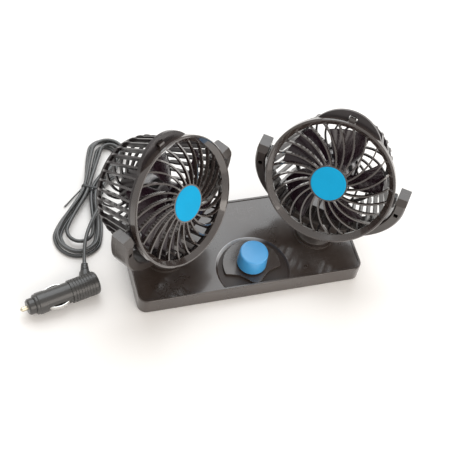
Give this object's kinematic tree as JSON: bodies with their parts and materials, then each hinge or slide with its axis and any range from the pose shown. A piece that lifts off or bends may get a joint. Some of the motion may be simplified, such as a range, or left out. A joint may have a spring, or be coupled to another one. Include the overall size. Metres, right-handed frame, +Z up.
{
  "type": "dual head car fan",
  "caption": "Dual head dashboard fan: tilting, swivelling caged fans with swirl grilles on a flat base, with a blue speed knob and a tied cord with a lighter plug.",
  "frame": {"origin": "middle of the base, on the surface that its non-slip pad rests on", "axes": "+Z up; +X along the base to the user's right; -Y towards the user, the way the fans blow"},
  "size_m": [0.3582, 0.209, 0.1732],
  "materials": {
    "black_gloss": "glossy black moulded plastic",
    "black_matte": "matte black moulded plastic",
    "steel": "zinc plated steel",
    "pad_rubber": "black non-slip rubber",
    "switch_body": "dark moulded switch housing",
    "board": "green circuit board",
    "knob_blue": "sky blue satin plastic",
    "badge_blue": "cyan blue satin plastic",
    "pivot_nylon": "natural nylon",
    "motor_can": "plated steel motor can",
    "blade_dark": "dark smoked plastic",
    "cord_black": "dark flexible vinyl",
    "tie_black": "black coated wire tie",
    "brass_pin": "plated brass contact",
    "plug_black": "satin black moulded plastic",
    "fuse_glass": "clear glass fuse tube",
    "contact_metal": "nickel plated spring contact"
  },
  "bodies": {
    "base": {"base_cover": "black_gloss", "base_plate": "black_matte", "base_screws": "steel", "base_pad": "pad_rubber", "speed_switch": "switch_body", "switch_nut": "steel", "control_board": "board", "cord_gland": "cord_black", "cord_lead": "cord_black", "cord_hank": "cord_black", "cord_tail": "cord_black", "cord_tie": "tie_black", "plug_nose": "plug_black", "plug_barrel": "plug_black", "plug_fuse": "fuse_glass", "plug_side_contacts": "contact_metal", "plug_handle": "plug_black", "plug_relief": "cord_black"},
    "knob": {"speed_knob": "knob_blue", "switch_shaft": "steel"},
    "plug_pin": {"plug_tip": "brass_pin"},
    "left_yoke": {"left_swivel_neck": "black_gloss", "left_swivel_washer": "steel", "left_swivel_screw": "steel", "left_yoke_front_shell": "black_gloss", "left_yoke_rear_shell": "black_gloss", "left_yoke_screws": "steel", "left_pivot_pins": "steel", "left_pivot_washers": "pivot_nylon"},
    "left_head": {"left_front_grille": "black_gloss", "left_grille_badge": "badge_blue", "left_rear_cage": "black_gloss", "left_motor": "motor_can", "left_motor_screws": "steel"},
    "left_blade": {"left_impeller": "blade_dark", "left_motor_shaft": "steel"},
    "right_yoke": {"right_swivel_neck": "black_gloss", "right_swivel_washer": "steel", "right_swivel_screw": "steel", "right_yoke_front_shell": "black_gloss", "right_yoke_rear_shell": "black_gloss", "right_yoke_screws": "steel", "right_pivot_pins": "steel", "right_pivot_washers": "pivot_nylon"},
    "right_head": {"right_front_grille": "black_gloss", "right_grille_badge": "badge_blue", "right_rear_cage": "black_gloss", "right_motor": "motor_can", "right_motor_screws": "steel"},
    "right_blade": {"right_impeller": "blade_dark", "right_motor_shaft": "steel"}
  },
  "joints": [
    {"name": "knob_turn", "type": "hinge", "parent": "base", "child": "knob", "pos_m": [0.004, -0.025, 0.03], "axis": [0, 0, -1], "range_deg": [0, 270]},
    {"name": "plug_tip_press", "type": "slide", "parent": "base", "child": "plug_pin", "axis": [0.974, 0.2267, 0], "range_m": [0, 0.0025], "stiffness_N_per_m": 600, "springref_m": -0.003},
    {"name": "left_swivel", "type": "hinge", "parent": "base", "child": "left_yoke", "pos_m": [-0.0755, 0, 0.02], "axis": [0, 0, 1], "range_deg": [-206.6, 133.4]},
    {"name": "left_tilt", "type": "hinge", "parent": "left_yoke", "child": "left_head", "pos_m": [-0.0755, 0, 0.1082], "axis": [0.8028, 0.5962, 0], "range_deg": [-3, 87.3]},
    {"name": "left_spin", "type": "hinge", "parent": "left_head", "child": "left_blade", "pos_m": [-0.0755, 0, 0.1082], "axis": [0.5298, -0.7134, 0.4586], "continuous": true},
    {"name": "right_swivel", "type": "hinge", "parent": "base", "child": "right_yoke", "pos_m": [0.0755, 0, 0.02], "axis": [0, 0, 1], "range_deg": [-133.4, 206.6]},
    {"name": "right_tilt", "type": "hinge", "parent": "right_yoke", "child": "right_head", "pos_m": [0.0755, 0, 0.1082], "axis": [0.8028, -0.5962, 0], "range_deg": [-3, 87.3]},
    {"name": "right_spin", "type": "hinge", "parent": "right_head", "child": "right_blade", "pos_m": [0.0755, 0, 0.1082], "axis": [-0.5298, -0.7134, 0.4586], "continuous": true}
  ]
}
